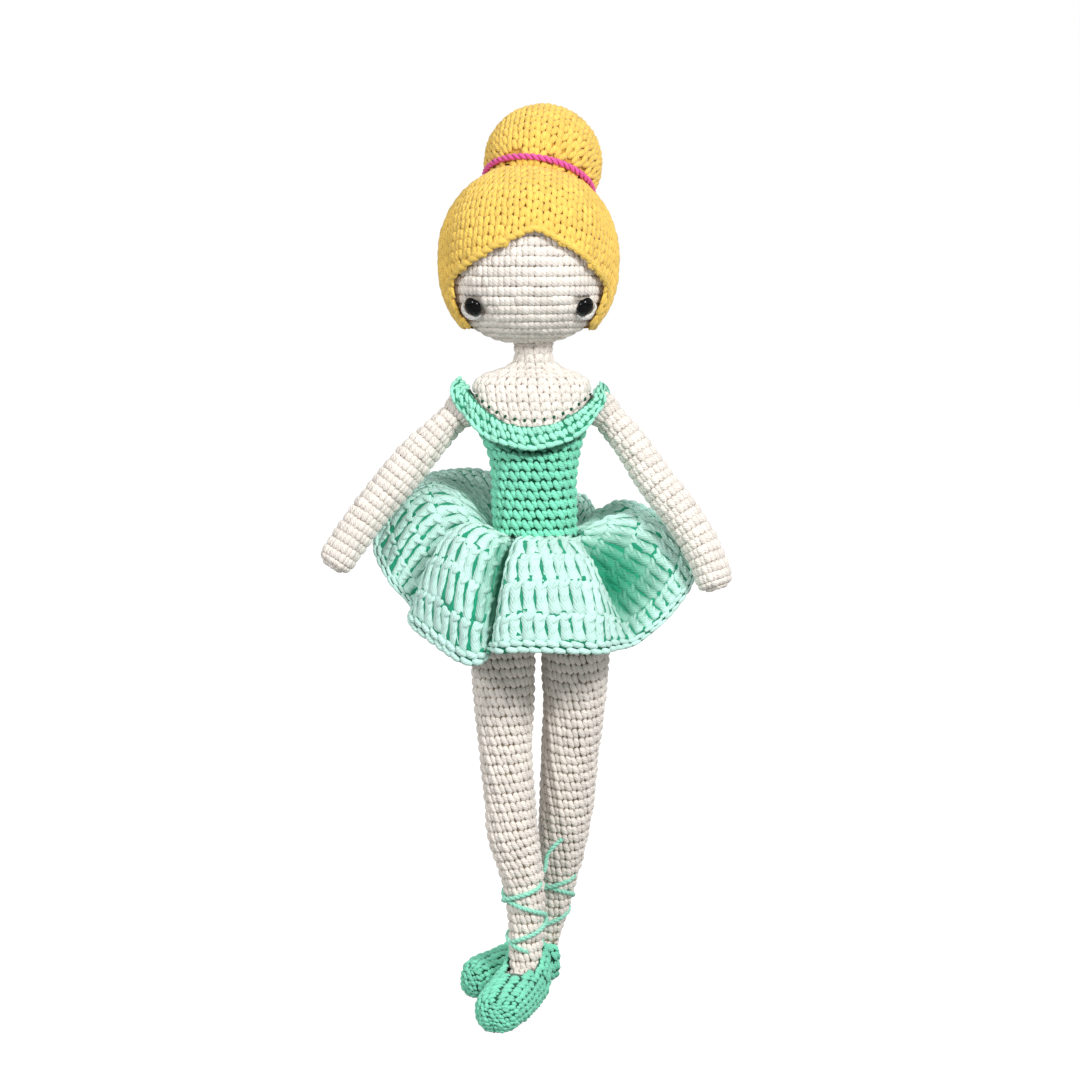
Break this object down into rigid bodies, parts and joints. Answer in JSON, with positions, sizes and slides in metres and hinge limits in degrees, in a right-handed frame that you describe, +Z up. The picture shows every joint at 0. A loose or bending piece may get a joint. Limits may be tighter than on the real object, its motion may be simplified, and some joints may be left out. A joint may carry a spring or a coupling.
{
  "type": "crocheted ballerina doll",
  "caption": "Stuffed crochet ballerina doll with a round head, hair bun, safety eyes, mint dress with a folded skirt, and laced slippers.",
  "frame": {"origin": "middle of the whole doll's box, on the plane of the slippers' soles", "axes": "+Z up through the crown, -Y the way the face looks, +X towards the doll's own left"},
  "size_m": [0.1666, 0.1012, 0.3704],
  "materials": {
    "cream_yarn": "matte twisted cotton yarn in single crochet",
    "golden_yarn": "matte twisted cotton yarn in single crochet",
    "magenta_yarn": "matte chained cord",
    "mint_yarn": "matte twisted cotton yarn in single crochet",
    "pale_mint_yarn": "matte twisted cotton yarn in double crochet",
    "white_yarn": "matte felted white yarn",
    "black_eye": "glossy black dome on a stem",
    "eye_washer": "plain moulded washer",
    "dowel_wood": "bare dowel",
    "fibre_fill": "loose polyester fibre"
  },
  "bodies": {
    "torso": {"torso_shell": "cream_yarn", "torso_stuffing": "fibre_fill", "neck_dowel": "dowel_wood", "hip_seam_right": "cream_yarn", "hip_seam_left": "cream_yarn", "bodice": "mint_yarn", "neckline_frill": "pale_mint_yarn", "skirt": "pale_mint_yarn"},
    "head": {"head_shell": "cream_yarn", "head_stuffing": "fibre_fill", "eye_right": "black_eye", "eye_left": "black_eye", "eye_washer_right": "eye_washer", "eye_washer_left": "eye_washer", "eye_white_right": "white_yarn", "eye_white_left": "white_yarn", "hair_cap": "golden_yarn", "bun_shell": "golden_yarn", "bun_stuffing": "fibre_fill", "hair_tie": "magenta_yarn"},
    "shoulder_join_right": {"shoulder_seam_right": "cream_yarn"},
    "shoulder_join_left": {"shoulder_seam_left": "cream_yarn"},
    "right_arm": {"arm_right": "cream_yarn", "arm_stuffing_right": "fibre_fill"},
    "left_arm": {"arm_left": "cream_yarn", "arm_stuffing_left": "fibre_fill"},
    "right_leg": {"leg_right": "cream_yarn", "leg_stuffing_right": "fibre_fill", "slipper_right": "mint_yarn", "lace_right_under": "mint_yarn", "lace_right_over": "mint_yarn"},
    "left_leg": {"leg_left": "cream_yarn", "leg_stuffing_left": "fibre_fill", "slipper_left": "mint_yarn", "lace_left_under": "mint_yarn", "lace_left_over": "mint_yarn"}
  },
  "joints": [
    {"name": "neck_turn", "type": "hinge", "parent": "torso", "child": "head", "pos_m": [0.0029, 0.00214, 0.2735], "axis": [0, 0, 1], "range_deg": [-45, 45]},
    {"name": "shoulder_swing_right", "type": "hinge", "parent": "torso", "child": "shoulder_join_right", "pos_m": [-0.026, 0.00214, 0.247], "axis": [-1, 0, 0], "range_deg": [0, 50]},
    {"name": "shoulder_swing_left", "type": "hinge", "parent": "torso", "child": "shoulder_join_left", "pos_m": [0.0304, 0.00214, 0.247], "axis": [-1, 0, 0], "range_deg": [0, 50]},
    {"name": "shoulder_raise_right", "type": "hinge", "parent": "shoulder_join_right", "child": "right_arm", "pos_m": [-0.026, 0.00214, 0.247], "axis": [0, 1, 0], "range_deg": [0, 60]},
    {"name": "shoulder_raise_left", "type": "hinge", "parent": "shoulder_join_left", "child": "left_arm", "pos_m": [0.0304, 0.00214, 0.247], "axis": [0, -1, 0], "range_deg": [0, 60]},
    {"name": "hip_swing_right", "type": "hinge", "parent": "torso", "child": "right_leg", "pos_m": [-0.01005, 0.00214, 0.166], "axis": [-1, 0, 0], "range_deg": [0, 40]},
    {"name": "hip_swing_left", "type": "hinge", "parent": "torso", "child": "left_leg", "pos_m": [0.02016, 0.00214, 0.166], "axis": [-1, 0, 0], "range_deg": [-28, 0]}
  ]
}
